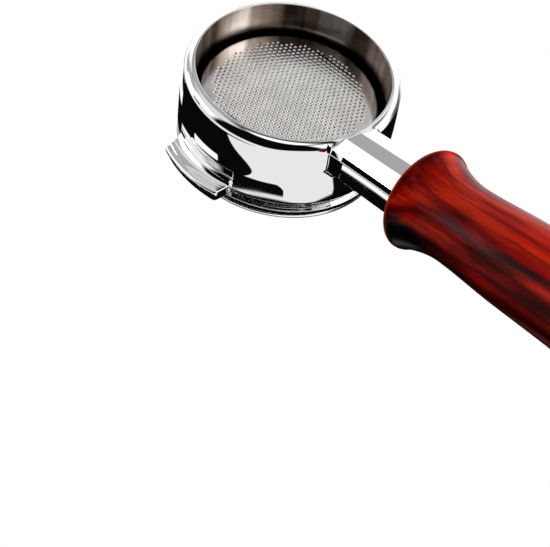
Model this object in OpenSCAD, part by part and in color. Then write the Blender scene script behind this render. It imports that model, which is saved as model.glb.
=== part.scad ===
// Bottomless (naked) portafilter for a 58 mm espresso group, with a turned wooden handle.
// The origin is the centre of the basket's rim, in the plane that seals against the group's gasket.
// +Z points up into the group and the handle runs out along +X, sloping down. Millimetres.

/* [Holder ring] */
// Height from the sealing plane down to the open lower mouth
holder_h = 31.6; // [29:0.2:34]
// Radius of the bore, from the top of the ring to the lower mouth
bore_r = 31.0; // [30.9:0.05:31.3]
// Largest outside radius of the ring wall
wall_r = 35.4; // [35:0.1:36]
// Radius of the flat lip at the lower mouth
lip_r = 32.4; // [32:0.1:33]
// Height of the rounded edge between the lip and the wall
lip_h = 3.2; // [2:0.1:4]
// Depth below the sealing plane of the upper edge of the outside groove
groove_depth = 4.2; // [3.6:0.1:4.6]
// Width of that groove
groove_h = 2.2; // [1.5:0.1:3]
// How far that groove cuts into the wall
groove_d = 1.0; // [0.5:0.1:1.5]

/* [Bayonet lugs] */
// Radius over the lugs
lug_r = 41.3; // [40.5:0.1:42]
// Width of each lug between its two parallel ends
lug_w = 26.2; // [24:0.2:28]
// Angle from the handle round to the middle of the first lug
lug_turn = 82.6; // [80:0.2:90]
// Depth of the flat top of each lug below the sealing plane
lug_top = 5.2; // [4.8:0.1:6]
// Thickness of the lug's outer edge at its leading end, which enters the group first
lug_lead = 2.2; // [1.5:0.1:3]
// Thickness of the lug's outer edge at its trailing end
lug_trail = 4.2; // [3.2:0.1:5]
// Radius at which the sloping foot under each lug meets the lug
lug_foot_r = 39.0; // [38:0.1:40]
// Depth of the lower end of that foot below the sealing plane
lug_foot = 12.0; // [11:0.2:14]

/* [Neck] */
// Downward slope of the neck and handle
slope = 18.6; // [12:0.1:22]
// Depth below the sealing plane at which the neck's axis crosses the ring's axis
axis_depth = 15.0; // [14:0.1:16]
// Distance along the neck's axis from the ring's axis to the neck's end
neck_end = 67.8; // [62:0.1:75]
// Half width of the neck
neck_w = 9.3; // [8.5:0.1:10]
// Distance from the axis to the neck's lower face
neck_under = 5.4; // [5.2:0.1:6]
// Distance from the axis to the neck's upper face
neck_over = 6.8; // [6:0.1:7]
// Half width of the narrow flat along the middle of the neck's lower face
neck_flat = 2.9; // [2:0.1:4]

/* [Filter basket] */
// Radius inside the basket, for a 58 mm tamper
basket_r = 29.3; // [29.2:0.05:29.35]
// Depth of the basket below the sealing plane, outside
basket_h = 20.7; // [18:0.1:24]
// Thickness of the sheet
sheet = 0.8; // [0.6:0.1:1]
// Radius of the rolled rim
basket_rim_r = 35.2; // [34.8:0.1:35.4]
// Thickness of the rolled rim
basket_rim_t = 2.2; // [1.6:0.1:2.6]
// How far the wall draws in towards the floor
basket_taper = 0.7; // [0.3:0.1:1]
// Outside radius of the corner between wall and floor
basket_corner = 1.6; // [1:0.1:2.5]
// Distance between neighbouring holes in the floor
hole_pitch = 1.75; // [1.5:0.05:2.4]
// Angle from the handle to one of the rows of holes, which run three ways, 60 degrees apart
hole_turn = 45.3; // [0:0.1:60]
// Radius of each hole in the floor
hole_r = 0.3; // [0.25:0.05:0.45]
// Radius of the perforated field
field_r = 24.6; // [22:0.1:26.2]

/* [Basket spring] */
// Radius of the spring's wire
wire_r = 0.7; // [0.6:0.05:0.8]
// Depth of the spring's groove below the sealing plane
spring_depth = 7.4; // [6.5:0.1:9]
// Gap between the ends of the wire, as an angle
spring_gap = 28; // [10:1:60]

/* [Wooden handle] */
// Length of the wood
wood_l = 122; // [110:1:135]
// Radius of the flared front edge
flare_r = 15.2; // [14.5:0.1:16.5]
// Radius of the waist behind the flare
waist_r = 11.4; // [11:0.1:12.5]
// Radius of the grip
grip_r = 12.1; // [11.5:0.1:13]
// Radius of the belly near the tail
belly_r = 15.0; // [13.5:0.1:16.5]
// Radius of the flat tail face
tail_r = 10.4; // [10:0.1:11]

/* [Tie rod and fasteners] */
// Radius of the M8 rod
rod_r = 4.0; // [4:0.1:4.4]
// Length of rod screwed into the neck
rod_grip = 22; // [16:1:26]
// Thickness of the fibre washer between neck and wood
fibre_t = 0.8; // [0.5:0.1:1.2]
// Depth of the pocket in the tail that holds the nut
pocket_d = 14; // [13:0.5:18]
// Radius of that pocket
pocket_r = 8.0; // [7.8:0.1:8.2]

/* [Hidden] */
$fn = 96;
ring_top = -basket_rim_t;
ring_low = -holder_h;
groove_top = -groove_depth;
edge = 0.4;
spring_groove_r = bore_r + 1.2;
spring_groove_h = 2 * wire_r + 0.3;
thread_play = 0.05;
rod_play = 0.4;
washer_r = 7.5;
washer_t = 1.6;
lock_washer_r = 6.9;
lock_washer_t = 2.0;
nut_across_flats = 13;
nut_t = 6.5;
cap_skirt = 2.4;
cap_dome_h = 2.6;
tail = neck_end + fibre_t + wood_l;
pocket_floor = tail - pocket_d;
rod_tip = pocket_floor + washer_t + lock_washer_t + nut_t + 0.8;

// Cubic curve from [x, r, slope] a to [x, r, slope] b, in n steps, without its last point
function curve(a, b, n) = [for (i = [0 : n - 1])
    let (t = i / n, w = b[0] - a[0])
    [(2*t^3 - 3*t^2 + 1) * a[1] + (t^3 - 2*t^2 + t) * w * a[2]
     + (3*t^2 - 2*t^3) * b[1] + (t^3 - t^2) * w * b[2], a[0] + w * t]];

// Points of a quarter round: centre c, radius r, from angle a0 to a1
function arc(c, r, a0, a1, n = 6) = [for (i = [0 : n])
    let (a = a0 + (a1 - a0) * i / n) c + r * [cos(a), sin(a)]];

// Places its children along the sloping axis: their +Z points down the handle from the ring's axis
module on_neck_axis(along = 0) {
    translate([0, 0, -axis_depth]) rotate([0, 90 + slope, 0]) translate([0, 0, along]) children();
}

// Disc or tube around the sloping axis
module axis_tube(from, length, r, bore) {
    on_neck_axis(from) difference() {
        cylinder(r = r, h = length);
        translate([0, 0, -1]) cylinder(r = bore, h = length + 2);
    }
}

module ring_wall() {
    wall_low = ring_low + lip_h;
    groove_low = groove_top - groove_h;
    rotate_extrude() polygon(concat(
        [[bore_r, ring_low]],
        [for (i = [0 : 6]) let (a = 90 * i / 6)
            [lip_r + (wall_r - 0.9 - lip_r) * sin(a), ring_low + lip_h * (1 - cos(a))]],
        [[wall_r, (wall_low + groove_low) / 2], [wall_r, groove_low - groove_d],
         [wall_r - groove_d, groove_low], [wall_r - groove_d, groove_top],
         [wall_r, groove_top + edge], [wall_r, ring_top - edge],
         [wall_r - edge, ring_top], [bore_r, ring_top]]));
}

// Shared outline of a lug, seen from above: +X is outward through the lug's middle
module lug_block(low, high) {
    intersection() {
        translate([0, 0, low]) cylinder(r = lug_r, h = high - low);
        translate([bore_r - 3, -lug_w / 2, low]) cube([lug_r, lug_w, high - low]);
    }
}

// One lug: its flat top slides on the collar's ledge and its underside thickens towards the trailing end
module lug() {
    top = -lug_top;
    intersection() {
        lug_block(top - lug_trail, top);
        rotate([90, 0, 90]) linear_extrude(lug_r + 1) polygon([
            [-lug_w / 2, top], [lug_w / 2, top],
            [lug_w / 2, top - lug_lead], [-lug_w / 2, top - lug_trail]]);
    }
    intersection() {
        lug_block(-lug_foot, top - lug_lead / 2);
        translate([0, 0, -lug_foot])
            cylinder(r1 = wall_r - edge, r2 = lug_foot_r, h = lug_foot - lug_top - lug_lead);
    }
}

// Section of the neck in its own plane: x is down through the neck, y is across it
module neck_section() {
    half = [[neck_under, neck_flat], [neck_under - 0.9, neck_w - 0.8], [neck_under - 2.4, neck_w],
            [3.0 - neck_over, neck_w], [-neck_over, neck_w - 3.0]];
    polygon(concat(half, [for (i = [len(half) - 1 : -1 : 0]) [half[i][0], -half[i][1]]]));
}

module holder_ring() {
    color("silver") difference() {
        union() {
            ring_wall();
            for (turn = [lug_turn, lug_turn + 180])
                rotate([0, 0, turn]) difference() {
                    lug();
                    translate([0, 0, ring_low]) cylinder(r = bore_r + edge, h = holder_h);
                }
            difference() {
                on_neck_axis(20) linear_extrude(neck_end - 20) neck_section();
                translate([0, 0, ring_low - 20]) cylinder(r = bore_r + 1, h = holder_h + 40);
            }
        }
        translate([0, 0, -spring_depth - spring_groove_h / 2])
            cylinder(r = spring_groove_r, h = spring_groove_h);
        on_neck_axis(neck_end - rod_grip) cylinder(r = rod_r + thread_play, h = rod_grip + 1);
    }
}

module floor_holes() {
    n = ceil(field_r / hole_pitch / sin(60));
    rotate(hole_turn) for (i = [-n : n], j = [-n : n]) {
        spot = [i + j * cos(60), j * sin(60)] * hole_pitch;
        if (norm(spot) <= field_r) translate(spot) circle(r = hole_r);
    }
}

module filter_basket() {
    out_r = basket_r + sheet;
    low_r = out_r - basket_taper;
    low_z = -basket_h;
    in_corner = basket_corner - sheet;
    straight = -basket_h / 2;
    color("gainsboro") {
        rotate_extrude() polygon(concat(
            [[basket_r, -0.8], [basket_r, straight]],
            arc([low_r - basket_corner, low_z + basket_corner], in_corner, 0, -90),
            [[field_r + 0.4, low_z + sheet], [field_r + 0.4, low_z]],
            arc([low_r - basket_corner, low_z + basket_corner], basket_corner, -90, 0),
            [[out_r, straight], [out_r, -basket_rim_t]],
            arc([basket_rim_r - basket_rim_t / 2, -basket_rim_t / 2], basket_rim_t / 2, -90, 90),
            [[basket_r + 0.8, 0]]));
        translate([0, 0, low_z]) linear_extrude(sheet) difference() {
            circle(r = field_r + 0.4);
            floor_holes();
        }
    }
}

module basket_spring() {
    color("dimgray") translate([0, 0, -spring_depth]) rotate([0, 0, spring_gap / 2])
        rotate_extrude(angle = 360 - spring_gap) translate([bore_r + 0.12, 0]) circle(r = wire_r, $fn = 24);
}

module fibre_washer() {
    color("black") axis_tube(neck_end, fibre_t, 6.6, rod_r + thread_play);
}

module wood_handle() {
    front = neck_end + fibre_t;
    flare = [0.7, flare_r, -0.45];
    waist = [16, waist_r, 0];
    grip = [36, grip_r, 0.02];
    palm = [60, grip_r + 0.4, 0.04];
    belly = [96, belly_r, 0];
    shoulder = [wood_l - 3.5, tail_r + 2.0, -0.5];
    color("firebrick") on_neck_axis(front) difference() {
        rotate_extrude() polygon(concat(
            [[0, 0], [flare_r - 0.9, 0]],
            curve(flare, waist, 8),
            curve(waist, grip, 6), curve(grip, palm, 5), curve(palm, belly, 8),
            curve(belly, shoulder, 6), curve(shoulder, [wood_l, tail_r, -3], 5),
            [[tail_r, wood_l], [0, wood_l]]));
        translate([0, 0, -1]) cylinder(r = rod_r + rod_play, h = wood_l + 2);
        translate([0, 0, wood_l - pocket_d]) cylinder(r = pocket_r, h = pocket_d + 1);
    }
}

module tie_rod() {
    start = neck_end - rod_grip + 0.5;
    color("lightslategray") on_neck_axis(start) cylinder(r = rod_r, h = rod_tip - start);
}

module rear_washer() {
    color("silver") axis_tube(pocket_floor, washer_t, washer_r, rod_r + rod_play);
}

module lock_washer() {
    color("slategray") on_neck_axis(pocket_floor + washer_t) difference() {
        cylinder(r = lock_washer_r, h = lock_washer_t);
        translate([0, 0, -1]) cylinder(r = rod_r + 0.15, h = lock_washer_t + 2);
        translate([rod_r - 1, -0.6, -1]) cube([lock_washer_r, 1.2, lock_washer_t + 2]);
    }
}

module rear_nut() {
    color("silver") on_neck_axis(pocket_floor + washer_t + lock_washer_t) difference() {
        cylinder(r = nut_across_flats / 2 / cos(30), h = nut_t, $fn = 6);
        translate([0, 0, -1]) cylinder(r = rod_r + thread_play, h = nut_t + 2);
    }
}

module end_cap() {
    dome_r = tail_r - 0.4;
    color("gainsboro") on_neck_axis(tail) rotate_extrude() polygon(concat(
        [[0, 1.2], [pocket_r - 1.2, 0.6], [pocket_r - 1.2, -cap_skirt], [pocket_r, -cap_skirt],
         [pocket_r, 0], [dome_r, 0]],
        [for (i = [0 : 8]) let (a = 90 * i / 8) [dome_r * cos(a), 0.6 + cap_dome_h * sin(a)]]));
}

holder_ring();
filter_basket();
basket_spring();
fibre_washer();
wood_handle();
tie_rod();
rear_washer();
lock_washer();
rear_nut();
end_cap();
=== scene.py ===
"""Looks of the bottomless portafilter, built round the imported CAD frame.

The CAD frame's origin is the centre of the basket's rim, +Z points up into the group, and the handle
runs out along +X and down. Names ending in _MM are in millimetres and most repeat the CAD's driving
dimensions; everything is built in metres.
"""
import math

import bpy
import numpy as np
from mathutils import Matrix, Vector, geometry


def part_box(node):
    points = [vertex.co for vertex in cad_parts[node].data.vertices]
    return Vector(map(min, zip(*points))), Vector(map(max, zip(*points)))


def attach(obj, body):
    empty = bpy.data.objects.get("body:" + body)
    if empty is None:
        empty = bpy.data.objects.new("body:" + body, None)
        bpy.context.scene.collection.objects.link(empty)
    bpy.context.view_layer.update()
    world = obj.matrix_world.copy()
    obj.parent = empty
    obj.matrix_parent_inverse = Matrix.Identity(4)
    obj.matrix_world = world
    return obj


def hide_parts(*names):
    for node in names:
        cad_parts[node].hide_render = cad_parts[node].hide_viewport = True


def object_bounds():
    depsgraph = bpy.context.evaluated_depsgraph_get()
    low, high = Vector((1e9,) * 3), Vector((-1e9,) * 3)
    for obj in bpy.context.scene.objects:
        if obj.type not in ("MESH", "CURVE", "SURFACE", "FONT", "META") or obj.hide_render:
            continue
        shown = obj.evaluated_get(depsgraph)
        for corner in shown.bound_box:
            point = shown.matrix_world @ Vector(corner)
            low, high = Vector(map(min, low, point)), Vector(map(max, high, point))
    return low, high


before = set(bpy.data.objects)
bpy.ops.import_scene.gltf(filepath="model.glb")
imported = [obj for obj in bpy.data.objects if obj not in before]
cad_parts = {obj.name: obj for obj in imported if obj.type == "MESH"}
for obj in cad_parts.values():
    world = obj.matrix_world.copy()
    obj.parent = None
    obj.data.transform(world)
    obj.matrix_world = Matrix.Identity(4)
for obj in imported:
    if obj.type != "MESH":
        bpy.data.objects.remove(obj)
cad_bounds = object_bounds()

MM = 0.001

# Holder ring
HOLDER_H_MM = 31.6
BORE_R_MM = 31.0
WALL_R_MM = 35.4
LIP_R_MM = 31.5
LIP_H_MM = 3.2
LIP_WALL_R_MM = 34.5
BARREL_SWELL_END = 0.75
SHOULDER_H_MM = 0.7
SHOULDER_EDGE_MM = 0.35
GROOVE_LOW_EDGE_MM = 0.3
GROOVE_TOP_EDGE_MM = 0.2
RIM_EDGE_MM = 0.25
BORE_EDGE_MM = 0.4
MOUTH_EDGE_MM = 0.35
GROOVE_TOP_MM = -4.2
GROOVE_H_MM = 2.2
GROOVE_D_MM = 1.0
SPRING_DEPTH_MM = 7.4
SPRING_GROOVE_R_MM = 32.2
SPRING_GROOVE_H_MM = 1.7

# Bayonet lugs
LUG_R_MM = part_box("holder_ring")[1].y / MM
LUG_W_MM = 26.2
LUG_TURN = math.radians(82.6)
LUG_TOP_MM = 5.2
LUG_LEAD_MM = 2.2
LUG_TRAIL_MM = 4.2
LUG_FOOT_MM = 12.0
LUG_COVE_MM = 4.0
LUG_EDGE_MM = 0.9
LUG_UNDER_EDGE_MM = 1.0
LUG_FOOT_FILLET_MM = 0.6
LUG_FILLET_MM = 0.7
LUG_ROOT_MM = 1.8

# Neck and handle axis
SLOPE = math.radians(18.6)
AXIS_DEPTH_MM = 15.0
NECK_END_MM = 67.8
NECK_W_MM = 9.3
NECK_UNDER_MM = 5.4
NECK_OVER_MM = 6.8
NECK_FLAT_MM = 2.9
NECK_FACET_RISE_MM = 0.9
NECK_FACET_INSET_MM = 0.8
NECK_SIDE_RISE_MM = 2.4
NECK_CHAMFER_MM = 3.0
NECK_START_MM = 20.0
NECK_EDGE_MM = 0.35
NECK_END_EDGE_MM = 0.3
# The fillet between neck and ring grows from the first value to the second between these distances
# from the middle
NECK_FILLET_Y_MM = (3.0, 7.0)
NECK_FILLET_MM = (0.2, 1.2)
ROD_GRIP_MM = 22.0
ROD_R_MM = 4.0
THREAD_PLAY_MM = 0.05
ROD_PLAY_MM = 0.4

GRID_STEP_MM = 0.32
OUTLINE_STEP_MM = 0.05

# Filter basket
BASKET_R_MM = 29.3
BASKET_H_MM = -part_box("filter_basket")[0].z / MM
BASKET_RIM_R_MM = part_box("filter_basket")[1].x / MM
BASKET_RIM_T_MM = 2.2
BASKET_TAPER_MM = 0.7
BASKET_CORNER_MM = 1.6
SHEET_MM = 0.8
HOLE_PITCH_MM = 1.754
HOLE_ROWS_TURN = math.radians(45.3)
HOLE_POINTS = 18
# Each hole's flare, from the outside of the floor to its inside, as (radius, height)
HOLE_FLARE_MM = [(0.66, 0.0), (0.62, 0.01), (0.50, 0.045), (0.40, 0.085), (0.34, 0.14), (0.30, 0.24),
                 (0.28, SHEET_MM)]
FIELD_R_MM = 24.6
BASKET_SEGMENTS = 192
RIM_FILLET_MM = 0.5

# Wooden handle
WOOD_FRONT_MM = 68.6
WOOD_L_MM = 122.0
FLARE_R_MM = 15.2
WAIST_R_MM = 11.4
GRIP_R_MM = 12.1
BELLY_R_MM = 15.0
TAIL_R_MM = 10.4
POCKET_R_MM = 8.0
POCKET_D_MM = 14.0
WOOD_SEGMENTS = 160

# Camera: where it stands, what it looks at, and how far it is rolled from upright
CAMERA_FROM = Vector((0.1672, 0.1429, -0.2188))
CAMERA_TO = Vector((0.0321, 0.0185, 0.0270))
CAMERA_ROLL = math.radians(-167.22)
CAMERA_LENS = 59.0


# ---------------------------------------------------------------- helpers

def mesh_object(name, verts, faces, smooth=True):
    """A mesh object from vertices in metres."""
    mesh = bpy.data.meshes.new(name)
    mesh.from_pydata([tuple(v) for v in verts], [], [tuple(f) for f in faces])
    mesh.validate()
    mesh.update()
    if smooth:
        mesh.polygons.foreach_set("use_smooth", [True] * len(mesh.polygons))
    obj = bpy.data.objects.new(name, mesh)
    bpy.context.scene.collection.objects.link(obj)
    return obj


def fast_mesh(name, verts, quads, normals):
    """A smooth mesh object from numpy arrays of vertices in metres, of quads and of vertex normals."""
    mesh = bpy.data.meshes.new(name)
    mesh.vertices.add(len(verts))
    mesh.vertices.foreach_set("co", np.asarray(verts, np.float32).ravel())
    mesh.loops.add(quads.size)
    mesh.loops.foreach_set("vertex_index", quads.astype(np.int32).ravel())
    mesh.polygons.add(len(quads))
    mesh.polygons.foreach_set("loop_start", np.arange(0, quads.size, 4, dtype=np.int32))
    mesh.update(calc_edges=True)
    mesh.polygons.foreach_set("use_smooth", [True] * len(quads))
    mesh.normals_split_custom_set_from_vertices(normals)
    obj = bpy.data.objects.new(name, mesh)
    bpy.context.scene.collection.objects.link(obj)
    return obj


def lathe(name, outline, segments):
    """A turned piece: outline is a closed loop of (radius, height) in millimetres, turned about Z."""
    verts, faces = [], []
    for r, z in outline:
        for i in range(segments):
            a = 2 * math.pi * i / segments
            verts.append((r * MM * math.cos(a), r * MM * math.sin(a), z * MM))
    for row in range(len(outline)):
        low, high = row * segments, (row + 1) % len(outline) * segments
        for i in range(segments):
            j = (i + 1) % segments
            faces.append((low + i, low + j, high + j, high + i))
    return mesh_object(name, verts, faces)


def arc(cx, cy, r, start, end, steps):
    """Points of an arc, from the angle start to the angle end, in degrees."""
    angles = np.radians(np.linspace(start, end, steps + 1))
    return [(cx + r * math.cos(a), cy + r * math.sin(a)) for a in angles]


def curve(a, b, steps):
    """Cubic curve between two [x, r, slope] stations, without its last point, as (radius, x)."""
    w = b[0] - a[0]
    out = []
    for t in np.linspace(0, 1, steps, endpoint=False):
        r = ((2 * t**3 - 3 * t**2 + 1) * a[1] + (t**3 - 2 * t**2 + t) * w * a[2]
             + (3 * t**2 - 2 * t**3) * b[1] + (t**3 - t**2) * w * b[2])
        out.append((r, a[0] + w * t))
    return out


def axis_matrix(along_mm):
    """Places a piece whose own +Z runs down the handle, along_mm from the ring's axis."""
    turn = Matrix.Rotation(math.pi / 2 + SLOPE, 4, "Y")
    start = Matrix.Translation((0, 0, -AXIS_DEPTH_MM * MM))
    return start @ turn @ Matrix.Translation((0, 0, along_mm * MM))


# ---------------------------------------------------------------- solid from a distance function

def smooth_min(a, b, k):
    """The smaller of two distances, blended where they are within k of each other."""
    h = np.clip(0.5 + 0.5 * (b - a) / k, 0, 1)
    return b * (1 - h) + a * h - k * h * (1 - h)


def smooth_max(a, b, k):
    """The larger of two distances, blended in the same way."""
    return -smooth_min(-a, -b, k)


def polygon_distance(x, y, points):
    """Signed distance from (x, y) to a closed outline, negative inside."""
    best = np.full(x.shape, 1e9)
    inside = np.zeros(x.shape, bool)
    for (x0, y0), (x1, y1) in zip(points, points[1:] + points[:1]):
        ex, ey = x1 - x0, y1 - y0
        t = np.clip(((x - x0) * ex + (y - y0) * ey) / (ex * ex + ey * ey), 0, 1)
        best = np.minimum(best, (x - x0 - t * ex) ** 2 + (y - y0 - t * ey) ** 2)
        if ey != 0:
            crosses = (y0 > y) != (y1 > y)
            inside ^= crosses & (x < (y - y0) * ex / ey + x0)
    return np.where(inside, -1, 1) * np.sqrt(best)


def surface_net(field, low, high, step):
    """Vertices (mm), quads and normals of the surface where field(x, y, z) is zero, inside a box.

    The field is worked out on every fourth point first, and on all points only near the surface. Each
    cell that the surface crosses gets one vertex, which is then moved onto the surface.
    """
    block, most_at_once = 4, 400000
    probe, normal_probe, least_slope = 0.01, 0.1, 0.05
    count = [int(math.ceil((h - l) / step / block)) * block for l, h in zip(low, high)]
    low = np.array(low, float)
    axes = [np.arange(n) for n in count]
    coarse = [np.arange(0, n, block) + (block - 1) / 2 for n in count]
    centres = np.stack(np.meshgrid(*coarse, indexing="ij"), -1).reshape(-1, 3)
    value = field(*(low + centres * step).T).reshape([len(c) for c in coarse])
    grid = value.repeat(block, 0).repeat(block, 1).repeat(block, 2).astype(np.float32)
    near = np.abs(value) < step * block * 1.5
    near = near.repeat(block, 0).repeat(block, 1).repeat(block, 2)
    nodes = np.argwhere(near)
    for part in np.array_split(nodes, max(1, len(nodes) // most_at_once)):
        grid[tuple(part.T)] = field(*(low + part * step).T)

    inside = grid < 0
    corners = [(i, j, k) for i in (0, 1) for j in (0, 1) for k in (0, 1)]
    sizes = [n - 1 for n in count]
    total = sum(inside[tuple(slice(start, start + n) for start, n in zip(c, sizes))].astype(np.int8)
                for c in corners)
    active = (total > 0) & (total < len(corners))
    cells = np.argwhere(active)
    index = np.full(active.shape, -1, np.int64)
    index[active] = np.arange(len(cells))
    at = [grid[tuple((cells + c).T)] for c in corners]
    offset, hits = np.zeros((len(cells), 3)), np.zeros(len(cells))
    for m, a in enumerate(corners):
        for n, b in enumerate(corners):
            if n > m and sum(abs(p - q) for p, q in zip(a, b)) == 1:
                cross = (at[m] < 0) != (at[n] < 0)
                t = np.where(cross, at[m] / np.where(cross, at[m] - at[n], 1), 0)
                point = np.array(a) + t[:, None] * (np.array(b) - np.array(a))
                offset += np.where(cross[:, None], point, 0)
                hits += cross
    verts = low + step * (cells + offset / hits[:, None])

    quads = []
    for axis in range(3):
        u, v = (axis + 1) % 3, (axis + 2) % 3
        first = [slice(0, n) for n in count]
        second = [slice(0, n) for n in count]
        first[axis], second[axis] = slice(0, count[axis] - 1), slice(1, count[axis])
        a, b = inside[tuple(first)], inside[tuple(second)]
        found = np.argwhere(a != b)
        found = found[(found[:, u] > 0) & (found[:, v] > 0)
                      & (found[:, u] < count[u] - 1) & (found[:, v] < count[v] - 1)]
        starts_inside = a[tuple(found.T)]
        eu, ev = np.eye(3, dtype=int)[u], np.eye(3, dtype=int)[v]
        ring = [index[tuple((found - d).T)] for d in (0 * eu, eu, eu + ev, ev)]
        quad = np.stack(ring, 1)
        quads.append(np.where(starts_inside[:, None], quad, quad[:, ::-1]))
    quads = np.concatenate(quads)

    for _ in range(3):
        here = field(*verts.T)
        slope = np.stack([field(*(verts + d).T) - here for d in np.eye(3) * probe], 1) / probe
        size = np.maximum((slope**2).sum(1), least_slope)
        verts = verts - (np.clip(here, -step, step) / size)[:, None] * slope
    reach = np.eye(3) * normal_probe
    normals = np.stack([field(*(verts + d).T) - field(*(verts - d).T) for d in reach], 1)
    normals /= np.maximum(np.linalg.norm(normals, axis=1), 1e-6)[:, None]
    return verts, quads, normals


class OutlineTable:
    """Signed distance to a closed outline, read off a fine grid."""

    def __init__(self, points, low, high, step):
        self.low, self.step = low, step
        self.count = [int((h - l) / step) + 2 for l, h in zip(low, high)]
        x = low[0] + step * np.arange(self.count[0])
        y = low[1] + step * np.arange(self.count[1])
        gx, gy = np.meshgrid(x, y, indexing="ij")
        self.value = polygon_distance(gx, gy, points)

    def __call__(self, x, y):
        u = np.clip((x - self.low[0]) / self.step, 0, self.count[0] - 1.001)
        v = np.clip((y - self.low[1]) / self.step, 0, self.count[1] - 1.001)
        i, j = u.astype(int), v.astype(int)
        fu, fv = u - i, v - j
        d = self.value
        inner = (d[i, j] * (1 - fu) * (1 - fv) + d[i + 1, j] * fu * (1 - fv)
                 + d[i, j + 1] * (1 - fu) * fv + d[i + 1, j + 1] * fu * fv)
        beyond = np.hypot(x - (self.low[0] + u * self.step), y - (self.low[1] + v * self.step))
        return inner + beyond


# ---------------------------------------------------------------- holder ring

def ring_outline():
    """Half section of the ring as (radius, height), with its edges rounded."""
    low, top = -HOLDER_H_MM, -BASKET_RIM_T_MM
    lip = []
    for a in np.linspace(0, math.pi / 2, 40):
        reach = LIP_R_MM + (LIP_WALL_R_MM - LIP_R_MM) * math.sin(a)
        lip.append((reach, low + LIP_H_MM * (1 - math.cos(a))))
    groove_low = GROOVE_TOP_MM - GROOVE_H_MM
    wall_low, wall_top = low + LIP_H_MM, groove_low - GROOVE_D_MM
    barrel = []
    for t in np.linspace(0, 1, 60)[1:]:
        swell = math.sin(min(t / BARREL_SWELL_END, 1) * math.pi / 2)
        reach = LIP_WALL_R_MM + (WALL_R_MM - LIP_WALL_R_MM) * swell
        barrel.append((reach, wall_low + (wall_top - SHOULDER_H_MM - wall_low) * t))
    groove_r = WALL_R_MM - GROOVE_D_MM
    edge = SHOULDER_EDGE_MM
    shoulder = arc(WALL_R_MM - edge, wall_top - edge, edge, 0, 50, 8)[1:]
    edge = GROOVE_LOW_EDGE_MM
    cove = arc(groove_r + edge, groove_low + edge, edge, 230, 180, 6)
    edge = GROOVE_TOP_EDGE_MM
    cove += arc(groove_r + edge, GROOVE_TOP_MM - edge, edge, 180, 100, 5)
    rim = arc(WALL_R_MM - edge, GROOVE_TOP_MM + edge, edge, -90, 0, 5)
    edge = RIM_EDGE_MM
    rim += arc(WALL_R_MM - edge, top - edge, edge, 0, 90, 6)
    inner = arc(BORE_R_MM + BORE_EDGE_MM, top - BORE_EDGE_MM, BORE_EDGE_MM, 90, 180, 5)
    g_low = -SPRING_DEPTH_MM - SPRING_GROOVE_H_MM / 2
    g_top = g_low + SPRING_GROOVE_H_MM
    spring_groove = [(BORE_R_MM, g_top), (SPRING_GROOVE_R_MM, g_top),
                     (SPRING_GROOVE_R_MM, g_low), (BORE_R_MM, g_low)]
    mouth = arc(BORE_R_MM + MOUTH_EDGE_MM, low + MOUTH_EDGE_MM, MOUTH_EDGE_MM, 180, 270, 5)
    return lip + barrel + shoulder + cove + rim + inner + spring_groove + mouth


def neck_outline():
    """Section of the neck as (height over the axis, width across), with sharp edges."""
    half = [(-NECK_UNDER_MM, NECK_FLAT_MM),
            (NECK_FACET_RISE_MM - NECK_UNDER_MM, NECK_W_MM - NECK_FACET_INSET_MM),
            (NECK_SIDE_RISE_MM - NECK_UNDER_MM, NECK_W_MM),
            (NECK_OVER_MM - NECK_CHAMFER_MM, NECK_W_MM),
            (NECK_OVER_MM, NECK_W_MM - NECK_CHAMFER_MM)]
    return half + [(h, -w) for h, w in reversed(half)]


def lug_distance(x, y, z, r):
    """Both lugs: wedges with parallel ends, a flat top and a hollow cove running up to the wall below."""
    cos_t, sin_t = math.cos(LUG_TURN), math.sin(LUG_TURN)
    outward = x * cos_t + y * sin_t
    side = np.where(outward < 0, -1, 1)
    across = side * (y * cos_t - x * sin_t)
    ends = np.abs(across) - LUG_W_MM / 2
    thick = LUG_LEAD_MM + (LUG_TRAIL_MM - LUG_LEAD_MM) * (0.5 - across / LUG_W_MM)
    plate = smooth_max(r - LUG_R_MM, z + LUG_TOP_MM, LUG_EDGE_MM)
    plate = smooth_max(plate, -LUG_TOP_MM - thick - z, LUG_UNDER_EDGE_MM)
    cove_r = WALL_R_MM + LUG_COVE_MM
    foot = np.maximum(r - cove_r, -LUG_FOOT_MM - z)
    foot = np.maximum(foot, LUG_COVE_MM - np.hypot(r - cove_r, z + LUG_FOOT_MM))
    foot = np.maximum(foot, z + LUG_TOP_MM + 1)
    lug = smooth_max(smooth_min(plate, foot, LUG_FOOT_FILLET_MM), ends, LUG_EDGE_MM)
    return np.maximum(lug, BORE_R_MM + LUG_ROOT_MM - r)


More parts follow.
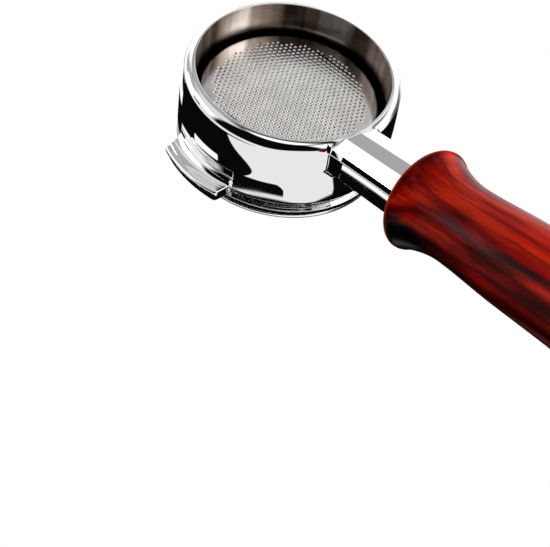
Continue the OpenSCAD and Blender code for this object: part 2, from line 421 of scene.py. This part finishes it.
def build_holder():
    """The ring, its lugs and the neck as one casting with filleted joints."""
    outline = OutlineTable(ring_outline(), (BORE_R_MM - 3, -HOLDER_H_MM - 3), (WALL_R_MM + 3, 1),
                           OUTLINE_STEP_MM)
    # the neck's section is drawn smaller by the radius that its edges are then grown by
    inset_h, inset_w = 1 - NECK_EDGE_MM / NECK_UNDER_MM, 1 - NECK_EDGE_MM / NECK_W_MM
    neck_points = [(h * inset_h, w * inset_w) for h, w in neck_outline()]
    cos_s, sin_s = math.cos(SLOPE), math.sin(SLOPE)

    def field(x, y, z):
        r = np.hypot(x, y)
        ring = outline(r, z)
        along = x * cos_s - (z + AXIS_DEPTH_MM) * sin_s
        over = x * sin_s + (z + AXIS_DEPTH_MM) * cos_s
        section = polygon_distance(over, y, neck_points) - NECK_EDGE_MM
        ends = np.maximum(along - NECK_END_MM, NECK_START_MM - along)
        neck = smooth_max(section, ends, NECK_END_EDGE_MM)
        body = smooth_min(ring, lug_distance(x, y, z, r), LUG_FILLET_MM)
        body = smooth_min(body, neck, np.interp(np.abs(y), NECK_FILLET_Y_MM, NECK_FILLET_MM))
        body = np.maximum(body, np.minimum(-HOLDER_H_MM - z, -NECK_UNDER_MM - over))
        body = np.maximum(body, BORE_R_MM - r)
        past_rod = ROD_R_MM + THREAD_PLAY_MM - np.hypot(over, y)
        return np.maximum(body, np.minimum(past_rod, along - NECK_END_MM + ROD_GRIP_MM))

    low, high = (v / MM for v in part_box("holder_ring"))
    margin = Vector((2, 2, 2))
    step = GRID_STEP_MM
    verts, quads, normals = surface_net(field, low - margin, high + margin, step)
    piece = fast_mesh("holder_casting", verts * MM, quads, normals)
    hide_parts("holder_ring")
    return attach(piece, "holder")


# ---------------------------------------------------------------- filter basket

def hole_centres():
    """Centres of the holes, on a triangular grid turned by HOLE_ROWS_TURN."""
    reach = int(FIELD_R_MM / HOLE_PITCH_MM * 1.2) + 1
    row_height = math.sqrt(0.75)
    centres = []
    for i in range(-reach, reach + 1):
        for j in range(-reach, reach + 1):
            spot = Vector((i + j / 2, j * row_height)) * HOLE_PITCH_MM
            if spot.length <= FIELD_R_MM:
                centres.append(spot)
    return centres


def circle(r, z):
    """Points round a circle of the basket's wall."""
    turns = [2 * math.pi * n / BASKET_SEGMENTS for n in range(BASKET_SEGMENTS)]
    return [(r * math.cos(a), r * math.sin(a), z) for a in turns]


def build_basket():
    """The pressed basket, with a flared punched hole at each point of the grid."""
    low_z = -BASKET_H_MM
    centres = hole_centres()
    angles = [math.radians(30 + 360 / HOLE_POINTS * n) for n in range(HOLE_POINTS)]
    cell = []
    for a in angles:
        off_middle = (a + math.pi / 6) % (math.pi / 3) - math.pi / 6
        reach = HOLE_PITCH_MM / 2 / math.cos(off_middle)
        cell.append((reach * math.cos(a), reach * math.sin(a)))
    rings = [[(x, y, 0.0) for x, y in cell]]
    rings += [[(r * math.cos(a), r * math.sin(a), z) for a in angles] for r, z in HOLE_FLARE_MM]
    rings += [[(x, y, SHEET_MM) for x, y in cell]]
    verts, faces, known = [], [], {}
    turn = Matrix.Rotation(HOLE_ROWS_TURN, 2)

    def vertex(x, y, z):
        key = (round(x * 1000), round(y * 1000), round(z * 1000))
        if key not in known:
            known[key] = len(verts)
            verts.append((x, y, z))
        return known[key]

    def field_vertex(x, y, z):
        spot = turn @ Vector((x, y))
        return vertex(spot.x, spot.y, z)

    for centre in centres:
        ids = [[field_vertex(x + centre.x, y + centre.y, low_z + z) for x, y, z in ring]
               for ring in rings]
        for a, b in zip(ids, ids[1:]):
            for n in range(HOLE_POINTS):
                m = (n + 1) % HOLE_POINTS
                faces.append((a[n], b[n], b[m], a[m]))

    # flat margin: its inner border is every cell side with no neighbour across it
    out_r = BASKET_R_MM + SHEET_MM
    wall_r = out_r - BASKET_TAPER_MM
    in_corner = BASKET_CORNER_MM - SHEET_MM
    flat_r = wall_r - BASKET_CORNER_MM
    spots = np.array([tuple(c) for c in centres])
    side_marks = HOLE_POINTS // 6
    points, lookup, edges = [], {}, []
    for centre in centres:
        for side in range(6):
            toward = math.radians(60 + 60 * side)
            across = centre + Vector((math.cos(toward), math.sin(toward))) * HOLE_PITCH_MM
            if np.hypot(*(spots - across).T).min() < 0.1:
                continue
            marks = [(side * side_marks + n) % HOLE_POINTS for n in range(side_marks + 1)]
            ids = []
            for m in marks:
                spot = turn @ (centre + Vector(cell[m]))
                key = (round(spot.x * 1000), round(spot.y * 1000))
                if key not in lookup:
                    lookup[key] = len(points)
                    points.append(spot)
                ids.append(lookup[key])
            edges += list(zip(ids, ids[1:]))
    rim = [Vector((x, y)) for x, y, _ in circle(flat_r, 0)]
    edges = [(a + len(rim), b + len(rim)) for a, b in edges]
    edges += [(n, (n + 1) % len(rim)) for n in range(len(rim))]
    flat, _, tris, *_ = geometry.delaunay_2d_cdt(rim + points, edges, [], 1, 1e-7)
    ways = np.radians([0, 60, 120])
    for tri in tris:
        middle = turn.transposed() @ (sum((flat[t] for t in tri), Vector((0, 0))) / len(tri))
        offset = spots - middle
        across = np.outer(offset[:, 0], np.cos(ways)) + np.outer(offset[:, 1], np.sin(ways))
        if np.abs(across).max(1).min() < HOLE_PITCH_MM / 2:
            continue
        cross = (flat[tri[1]] - flat[tri[0]]).cross(flat[tri[2]] - flat[tri[0]])
        for z, under in ((0.0, True), (SHEET_MM, False)):
            loop = [vertex(flat[t].x, flat[t].y, low_z + z) for t in tri]
            if (cross > 0) == under:
                loop.reverse()
            faces.append(tuple(loop))

    # corner, wall and rolled rim, turned from the floor's underside round to its inside
    corner = (wall_r - BASKET_CORNER_MM, low_z + BASKET_CORNER_MM)
    mid = -BASKET_H_MM / 2
    rim_c = BASKET_RIM_R_MM - BASKET_RIM_T_MM / 2
    rim_half = BASKET_RIM_T_MM / 2
    rim_under = -BASKET_RIM_T_MM - RIM_FILLET_MM
    in_wall = wall_r - SHEET_MM

    def wall(low_r, high_r, shares):
        return [(low_r + (high_r - low_r) * t, corner[1] + (mid - corner[1]) * t) for t in shares]

    outline = arc(*corner, BASKET_CORNER_MM, -90, 0, 8) + wall(wall_r, out_r, (0.33, 0.67, 1))
    outline += arc(out_r + RIM_FILLET_MM, rim_under, RIM_FILLET_MM, 180, 90, 4)
    outline += arc(rim_c, -rim_half, rim_half, -90, 90, 12)
    outline += arc(BASKET_R_MM + SHEET_MM, -SHEET_MM, SHEET_MM, 90, 180, 6)
    outline += [(BASKET_R_MM, mid)] + wall(in_wall, BASKET_R_MM, (0.67, 0.33))
    outline += arc(*corner, in_corner, 0, -90, 6)
    loops = [[vertex(*spot) for spot in circle(r, z)] for r, z in outline]
    for a, b in zip(loops, loops[1:]):
        for n in range(BASKET_SEGMENTS):
            m = (n + 1) % BASKET_SEGMENTS
            faces.append((a[n], a[m], b[m], b[n]))
    piece = mesh_object("perforated_basket", [(x * MM, y * MM, z * MM) for x, y, z in verts], faces)
    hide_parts("filter_basket")
    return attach(piece, "basket")


# ---------------------------------------------------------------- wooden handle

def build_handle():
    """The turned handle, with a thin bevel on the flared front edge.

    Its stations are [distance behind the front edge, radius, slope].
    """
    waist = [16, WAIST_R_MM, 0]
    grip = [36, GRIP_R_MM, 0.02]
    palm = [60, GRIP_R_MM + 0.4, 0.04]
    belly = [96, BELLY_R_MM, 0]
    shoulder = [WOOD_L_MM - 3.5, TAIL_R_MM + 2.0, -0.5]
    tail = [WOOD_L_MM, TAIL_R_MM, -3]
    rod_hole_r = ROD_R_MM + ROD_PLAY_MM
    outline = [(rod_hole_r, 0.0), (ROD_R_MM + 3.0, 0.0), (FLARE_R_MM - 3, 0.0)]
    outline += arc(FLARE_R_MM - 0.9, 0.5, 0.5, -90, -45, 3)
    outline += arc(FLARE_R_MM - 0.35, 0.75, 0.35, -45, 60, 5)
    outline += curve([1.3, FLARE_R_MM - 0.5, -0.42], waist, 20) + curve(waist, grip, 20)
    outline += curve(grip, palm, 16) + curve(palm, belly, 24)
    outline += curve(belly, shoulder, 16) + curve(shoulder, tail, 14)
    outline += arc(TAIL_R_MM - 0.4, WOOD_L_MM - 0.4, 0.4, 0, 90, 4)
    pocket_floor = WOOD_L_MM - POCKET_D_MM
    outline += [(POCKET_R_MM, WOOD_L_MM), (POCKET_R_MM, pocket_floor), (rod_hole_r, pocket_floor)]
    piece = lathe("turned_handle", outline, WOOD_SEGMENTS)
    piece.data.transform(axis_matrix(WOOD_FRONT_MM))
    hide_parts("wood_handle")
    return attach(piece, "holder")


# ---------------------------------------------------------------- materials

class Nodes:
    """A few words for building a node tree."""

    def __init__(self, tree):
        self.tree = tree
        tree.nodes.clear()

    def add(self, kind, inputs=None, **settings):
        """A node with its settings, each input a value or another node's socket."""
        node = self.tree.nodes.new(kind)
        for key, value in settings.items():
            setattr(node, key, value)
        for key, value in (inputs or {}).items():
            socket = node.inputs[key]
            if isinstance(value, bpy.types.NodeSocket):
                self.tree.links.new(value, socket)
            else:
                socket.default_value = value
        return node

    def math(self, operation, a, b=0.0):
        return self.add("ShaderNodeMath", {0: a, 1: b}, operation=operation).outputs[0]

    def radius(self, x, y):
        """Distance from the axis that x and y are measured from."""
        return self.math("SQRT", self.math("ADD", self.math("MULTIPLY", x, x), self.math("MULTIPLY", y, y)))

    def noise(self, vector, scale, detail, rough=0.5, output="Fac"):
        inputs = {"Vector": vector, "Scale": scale, "Detail": detail, "Roughness": rough}
        return self.add("ShaderNodeTexNoise", inputs).outputs[output]

    def stretch(self, vector, along, shift=(0.0, 0.0, 0.0)):
        """The same place with its Z scaled, so that a pattern on it is drawn out or flattened."""
        inputs = {"Vector": vector, "Scale": (1.0, 1.0, along), "Location": shift}
        return self.add("ShaderNodeMapping", inputs).outputs[0]

    def fade(self, value, start, end, low=0.0, high=1.0, kind="LINEAR"):
        """Goes from low to high while the value goes from start to end."""
        inputs = {"Value": value, "From Min": start, "From Max": end, "To Min": low, "To Max": high}
        return self.add("ShaderNodeMapRange", inputs, interpolation_type=kind).outputs[0]

    def mix(self, share, a, b, kind="MIX"):
        """Colour a, with its share of colour b."""
        inputs = {"Factor": share, 6: a, 7: b}
        return self.add("ShaderNodeMix", inputs, data_type="RGBA", blend_type=kind).outputs[2]

    def bump(self, strength, distance, height):
        inputs = {"Strength": strength, "Distance": distance, "Height": height}
        return self.add("ShaderNodeBump", inputs).outputs["Normal"]

    def ramp(self, value, stops):
        """Colour ramp through stops of (place, colour)."""
        node = self.add("ShaderNodeValToRGB", {0: value})
        node.color_ramp.interpolation = "EASE"
        elements = node.color_ramp.elements
        while len(elements) < len(stops):
            elements.new(0.5)
        for element, (place, colour) in zip(elements, stops):
            element.position = place
            element.color = (*colour, 1)
        return node.outputs[0]

    def surface(self, node, output="ShaderNodeOutputMaterial"):
        """Ends the tree with the node as its surface."""
        self.tree.links.new(node.outputs[0], self.add(output).inputs["Surface"])


def grey(value):
    """The same value in all three channels."""
    return (value, value, value)


def new_material(name):
    """An empty material and the builder of its node tree."""
    mat = bpy.data.materials.new(name)
    mat.use_nodes = True
    return mat, Nodes(mat.node_tree)


def chrome_material():
    """Mirror chrome with faint polishing marks; the turned bore is duller, streaked with coffee stains
    towards the mouth, and painted near black deeper in towards the basket as painted shade.
    """
    mat, n = new_material("chrome_plate")
    place = n.add("ShaderNodeTexCoord").outputs["Object"]
    x, y, z = n.add("ShaderNodeSeparateXYZ", {0: place}).outputs[:3]
    edge = (BORE_R_MM + 0.3) * MM
    bore = n.fade(n.radius(x, y), edge, edge - 0.2 * MM)
    polished = n.ramp(n.noise(place, 90.0, 4.0), [(0.35, grey(0.006)), (0.75, grey(0.022))])
    turning = n.noise(n.stretch(place, 30.0), 160.0, 4.0)
    turned = n.ramp(turning, [(0.3, grey(0.26)), (0.7, grey(0.36))])
    rough = n.mix(bore, polished, turned)
    stain = n.noise(n.stretch(place, 0.12), 75.0, 6.0)
    stains_and_painted_shade = n.ramp(stain, [(0.36, (0.05, 0.032, 0.022)), (0.50, (0.26, 0.20, 0.165)),
                          (0.64, (0.60, 0.54, 0.50))])
    # painted shade: the bore is painted near black from the basket's end down to 18.5 mm deep, in place of
    # the dark reflections and shade in there, fading to the stains by 25.5 mm deep
    near_mouth = n.fade(z, -0.0185, -0.0255, low=0.04, kind="SMOOTHSTEP")
    stains_and_painted_shade = n.mix(near_mouth, (0.02, 0.015, 0.012, 1), stains_and_painted_shade)
    tint = n.mix(bore, (0.80, 0.80, 0.81, 1), stains_and_painted_shade)
    normal = n.bump(0.12, 0.00004, n.math("MULTIPLY", turning, bore))
    round_z = n.add("ShaderNodeTangent", direction_type="RADIAL", axis="Z").outputs[0]
    n.surface(n.add("ShaderNodeBsdfPrincipled", {
        "Base Color": tint, "Metallic": 1.0, "Roughness": rough, "Normal": normal,
        "Anisotropic": n.math("MULTIPLY", bore, 0.8), "Tangent": round_z}))
    return mat


def steel_material(name, colour, low, high):
    """Plain steel whose roughness wanders between low and high."""
    mat, n = new_material(name)
    place = n.add("ShaderNodeTexCoord").outputs["Object"]
    cloud = n.noise(place, 160.0, 5.0)
    rough = n.ramp(cloud, [(0.3, grey(low)), (0.75, grey(high))])
    tint = n.ramp(cloud, [(0.3, tuple(c * 0.9 for c in colour)), (0.7, colour)])
    normal = n.bump(0.05, 0.00003, n.noise(place, 3000.0, 2.0))
    n.surface(n.add("ShaderNodeBsdfPrincipled", {
        "Base Color": tint, "Metallic": 1.0, "Roughness": rough, "Normal": normal}))
    return mat


def fibre_material():
    """Pressed black fibre."""
    mat, n = new_material("pressed_fibre")
    fleck = n.noise(n.add("ShaderNodeTexCoord").outputs["Object"], 900.0, 4.0)
    tint = n.ramp(fleck, [(0.3, (0.012, 0.011, 0.010)), (0.8, (0.05, 0.045, 0.04))])
    n.surface(n.add("ShaderNodeBsdfPrincipled", {
        "Base Color": tint, "Roughness": 0.75, "Normal": n.bump(0.3, 0.0001, fleck)}))
    return mat


def wood_material():
    """Red lacquered hardwood: dark figure, growth rings and fine pores, all drawn out along the handle,
    with painted shade down one side.
    """
    mat, n = new_material("red_hardwood")
    place = n.add("ShaderNodeTexCoord").outputs["Object"]
    place = n.add("ShaderNodeMapping", {
        "Vector": place, "Location": (0, 0, -AXIS_DEPTH_MM * MM), "Rotation": (0, math.pi / 2 + SLOPE, 0)},
        vector_type="TEXTURE").outputs[0]
    x, y, along = n.add("ShaderNodeSeparateXYZ", {0: place}).outputs[:3]

    # growth rings, bent by a slow warp
    warp = n.noise(n.stretch(place, 0.3), 38.0, 3.0, output="Color")
    bent = n.add("ShaderNodeVectorMath", {0: warp, 1: (0.5, 0.5, 0.5)}, operation="SUBTRACT").outputs[0]
    bent = n.add("ShaderNodeVectorMath", {0: bent, "Scale": 0.012}, operation="SCALE").outputs[0]
    heart = n.stretch(place, 0.10, (0.024, 0.004, 0.0))
    heart = n.add("ShaderNodeVectorMath", {0: heart, 1: bent}, operation="ADD").outputs[0]
    rings = n.add("ShaderNodeTexWave", {
        "Vector": heart, "Scale": 64.0, "Distortion": 3.0, "Detail": 3.0, "Detail Scale": 1.6},
        wave_type="RINGS", rings_direction="Z").outputs["Fac"]
    tint = n.ramp(rings, [(0.0, (0.17, 0.0018, 0.0008)), (0.25, (0.38, 0.0045, 0.0010)),
                          (0.70, (0.56, 0.0110, 0.0018)), (1.0, (0.68, 0.030, 0.003))])

    # dark patches and fine dark lines over them
    patches = n.ramp(n.noise(n.stretch(place, 0.30, (0.03, 0.05, 0.02)), 52.0, 4.0, 0.55),
                     [(0.33, (0.16, 0.10, 0.10)), (0.43, (0.70, 0.58, 0.58)), (0.52, grey(1.0))])
    lines = n.ramp(n.noise(n.stretch(place, 0.05), 520.0, 5.0, 0.6),
                   [(0.38, (0.42, 0.28, 0.28)), (0.6, grey(1.0))])
    tint = n.mix(1.0, n.mix(1.0, tint, patches, kind="MULTIPLY"), lines, kind="MULTIPLY")

    # painted shade: one side of the handle painted near black, as if turned away from the light, widest at
    # the flare
    turn = n.math("DEGREES", n.math("ARCTAN2", y, x))
    wander = n.noise(n.stretch(place, 0.35, (0.01, 0.0, 0.05)), 110.0, 4.0)
    turn = n.math("ADD", turn, n.math("MULTIPLY", n.math("SUBTRACT", wander, 0.5), 90.0))
    dark = n.fade(turn, 62.0, 96.0, kind="SMOOTHSTEP")
    dark = n.math("MULTIPLY", dark, n.fade(along, 0.102, 0.078, low=0.80))
    tint = n.mix(dark, tint, (0.0012, 0.0003, 0.0003, 1))

    # bare orange wood on the bevel of the flare's edge
    bevel = n.fade(along, (WOOD_FRONT_MM + 1.3) * MM, (WOOD_FRONT_MM + 0.7) * MM, high=0.6)
    outside = n.fade(n.radius(x, y), (FLARE_R_MM - 1.6) * MM, (FLARE_R_MM - 1.1) * MM)
    tint = n.mix(n.math("MULTIPLY", bevel, outside), tint, (0.70, 0.045, 0.008, 1))

    pore = n.noise(n.stretch(place, 0.04), 1500.0, 3.0)
    rough = n.ramp(pore, [(0.3, grey(0.30)), (0.7, grey(0.20))])
    n.surface(n.add("ShaderNodeBsdfPrincipled", {
        "Base Color": tint, "Roughness": rough, "Normal": n.bump(0.4, 0.00012, pore),
        "Specular IOR Level": 0.05}))
    return mat


def dress(obj, mat):
    """Gives obj one material in all its slots."""
    if not obj.data.materials:
        obj.data.materials.append(mat)
    for i in range(len(obj.material_slots)):
        obj.material_slots[i].material = mat


# ---------------------------------------------------------------- scene

def build_floor():
    """A pale floor under the object, seen from above only."""
    low = cad_bounds[0].z - 0.0005
    half = 6.0
    corners = [(-half, -half, low), (half, -half, low), (half, half, low), (-half, half, low)]
    floor = mesh_object("floor", corners, [(0, 1, 2, 3)], smooth=False)
    mat, n = new_material("studio_floor")
    path = n.add("ShaderNodeLightPath").outputs["Is Camera Ray"]
    behind = n.add("ShaderNodeNewGeometry").outputs["Backfacing"]
    seen = n.math("MULTIPLY", path, n.math("SUBTRACT", 1.0, behind))
    matt = n.add("ShaderNodeBsdfDiffuse", {"Color": (0.42, 0.42, 0.42, 1)}).outputs[0]
    glow = n.add("ShaderNodeEmission", {"Color": (1, 1, 1, 1), "Strength": 0.55}).outputs[0]
    plain = n.add("ShaderNodeAddShader", {0: matt, 1: glow}).outputs[0]
    clear = n.add("ShaderNodeBsdfTransparent").outputs[0]
    n.surface(n.add("ShaderNodeMixShader", {0: seen, 1: clear, 2: plain}))
    dress(floor, mat)


def build_world():
    """A studio seen only in the object's reflections: soft white panels on black.

    The panels are placed by direction, in degrees: azimuth round +Z from +X, or from -X for those
    behind, and height over the horizon. The camera itself sees plain white.
    """
    world = bpy.data.worlds.new("studio")
    bpy.context.scene.world = world
    world.use_nodes = True
    n = Nodes(world.node_tree)
    toward = n.add("ShaderNodeTexCoord").outputs["Generated"]
    x, y, z = n.add("ShaderNodeSeparateXYZ", {0: toward}).outputs[:3]
    front = n.math("DEGREES", n.math("ARCTAN2", y, x))
    back = n.math("DEGREES", n.math("ARCTAN2", n.math("MULTIPLY", y, -1.0), n.math("MULTIPLY", x, -1.0)))
    height = n.math("DEGREES", n.math("ARCSINE", z))

    def step(value, start, end):
        return n.fade(value, start, end, kind="SMOOTHSTEP")

    def times(a, b):
        return n.math("MULTIPLY", a, b)

    def window(value, low, high, soft):
        # 1 between low and high, 0 outside
        return times(step(value, low - soft, low + soft), step(value, high + soft, high - soft))

    def panel(azimuth, sides, ends, soft, strength):
        # a panel between two azimuths and two heights, with soft edges
        return times(times(window(azimuth, *sides, soft[0]), window(height, *ends, soft[1])), strength)

    def without(light, hole):
        return times(light, n.math("SUBTRACT", 1.0, hole))

    # The wide panel that the wall shows: its left edge leans, its right edge is round, its lower edge
    # rises to the right, and a dark bar cuts its top corner
    from_middle = n.math("SUBTRACT", height, 41.8)
    rounded = n.math("SUBTRACT", front, times(times(from_middle, from_middle), 0.9))
    leaning = n.math("MINIMUM", times(n.math("SUBTRACT", 47.5, height), 1.5), 9.0)
    wide = times(step(n.math("SUBTRACT", front, leaning), -31, -29), step(rounded, 64, 62.6))
    top_edge = times(n.math("MINIMUM", front, 0.0), 0.04)
    wide = times(wide, step(n.math("SUBTRACT", height, top_edge), 48.72, 48.56))
    low_edge = n.fade(front, 15.0, 55.0, -12.0, 13.0, kind="SMOOTHSTEP")
    wide = times(wide, step(n.math("SUBTRACT", height, low_edge), -3, 3))
    tip = n.math("MAXIMUM", n.math("SUBTRACT", 38.0, front), 0.0)
    bar = n.math("SUBTRACT", height, times(times(tip, tip), 0.026))
    bar = times(step(bar, 44.65, 44.95), step(height, 48.5, 48.3))
    wide = without(wide, times(bar, step(front, 20, 24)))

    # Thin strips beside it
    streak = panel(front, (104.5, 141), (42.1, 44.1), (1.2, 0.25), 1.7)
    spot = panel(front, (152, 176), (44.6, 46.2), (1.5, 0.3), 1.3)
    thin = panel(back, (-1, 32), (40.3, 41.8), (1, 0.3), 1.4)
    slanting = n.math("ADD", height, times(front, 0.215))
    ridge = times(window(front, 126, 136, 1.0), times(window(slanting, 74.25, 74.52, 0.08), 1.4))

    # The bright side behind the ring, with the dark things standing in it, and the light from below
    key = panel(back, (-72, 122), (-38, 30), (5, 4), 1.3)
    key = without(key, panel(back, (78, 104), (-4, 60), (6, 8), 0.9))
    key = without(key, panel(back, (27, 43), (-24, -11), (3, 3), 0.64))
    key = without(key, panel(back, (-35, -3), (-45, 2), (5, 5), 0.6))
    key = without(key, panel(back, (-80, -53), (6, 34), (3, 3), 0.5))
    key = without(key, panel(back, (-53, -42), (-1, 36), (1.5, 1.5), 1.0))
    lamp = panel(back, (-50, -22), (-13, -2), (5, 4), 8.0)
    below = panel(back, (-70, -5), (-69, -38), (6, 6), 0.9)
    pale = panel(back, (-5, 30), (-62, -38), (4, 4), 0.5)
    soft_grey = panel(back, (30, 54), (-60, -36), (3, 4), 0.42)
    bright = panel(back, (52, 76), (-60, -36), (3, 4), 1.0)
    dull = panel(back, (74, 112), (-56, -30), (4, 4), 0.3)
    side = panel(front, (-64, -6), (-66, -12), (8, 10), 2.4)
    top = panel(front, (-181, 181), (82, 91), (1, 3), 0.9)
    foot = times(step(height, -70, -80), 1.5)
    total = 0.003
    for light in (wide, streak, spot, thin, ridge, key, lamp, below, pale, soft_grey, bright, dull,
                  side, top, foot):
        total = n.math("MAXIMUM", total, light)

    light = n.add("ShaderNodeBackground", {"Color": (1, 1, 1, 1), "Strength": total}).outputs[0]
    seen = n.add("ShaderNodeLightPath").outputs["Is Camera Ray"]
    backdrop = n.add("ShaderNodeBackground", {"Color": (1, 1, 1, 1), "Strength": 1.0}).outputs[0]
    n.surface(n.add("ShaderNodeMixShader", {0: seen, 1: light, 2: backdrop}), "ShaderNodeOutputWorld")
    world.cycles.sampling_method = "MANUAL"
    world.cycles.sample_map_resolution = 1024
    bpy.context.scene.view_settings.view_transform = "Standard"


def build_camera():
    """The camera at the photograph's viewing angle, below the object."""
    data = bpy.data.cameras.new("camera")
    data.lens = CAMERA_LENS
    data.sensor_width = 36
    data.clip_start = 0.01
    camera = bpy.data.objects.new("camera", data)
    bpy.context.scene.collection.objects.link(camera)
    aim = (CAMERA_TO - CAMERA_FROM).to_track_quat("-Z", "Y").to_matrix().to_4x4()
    camera.matrix_world = Matrix.Translation(CAMERA_FROM) @ aim @ Matrix.Rotation(CAMERA_ROLL, 4, "Z")
    bpy.context.scene.camera = camera


build_camera()
build_floor()
build_world()

chrome = chrome_material()
basket_steel = steel_material("basket_steel", (0.95, 0.93, 0.91), 0.14, 0.22)
zinc = steel_material("zinc_plate", (0.62, 0.64, 0.67), 0.28, 0.45)
spring_steel = steel_material("spring_steel", (0.42, 0.42, 0.43), 0.25, 0.40)

dress(build_holder(), chrome)
dress(build_basket(), basket_steel)
dress(build_handle(), wood_material())
dress(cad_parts["basket_spring"], spring_steel)
dress(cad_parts["lock_washer"], spring_steel)
dress(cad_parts["fibre_washer"], fibre_material())
dress(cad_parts["end_cap"], chrome)
for part in ("tie_rod", "rear_washer", "rear_nut"):
    dress(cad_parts[part], zinc)
